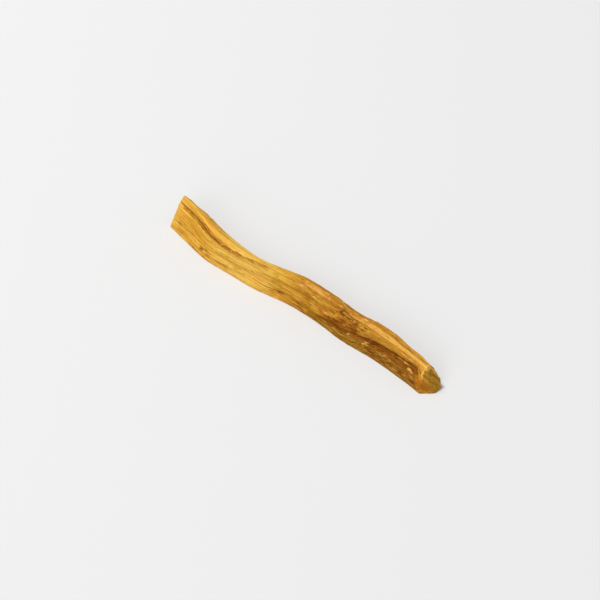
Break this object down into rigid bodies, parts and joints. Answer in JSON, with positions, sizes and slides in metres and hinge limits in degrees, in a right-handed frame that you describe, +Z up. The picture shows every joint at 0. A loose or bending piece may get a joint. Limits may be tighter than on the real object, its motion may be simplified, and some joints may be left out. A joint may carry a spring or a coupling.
{
  "type": "palo santo stick",
  "caption": "Slim split stick of amber resinous wood, gently bowed, with a ledge along its front face, a crack along its brow and cut ends, lying on its flat side.",
  "frame": {"origin": "middle of the stick's box, on the surface that it lies on", "axes": "+X along the stick towards its slanted cut end, -Y out of its front face, +Z up"},
  "size_m": [0.1062, 0.012, 0.009],
  "materials": {
    "wood": "raw split heartwood, amber with brown resin streaks, matt with a faint resin sheen"
  },
  "bodies": {
    "root": {"palo_santo_stick": "wood"}
  },
  "joints": []
}
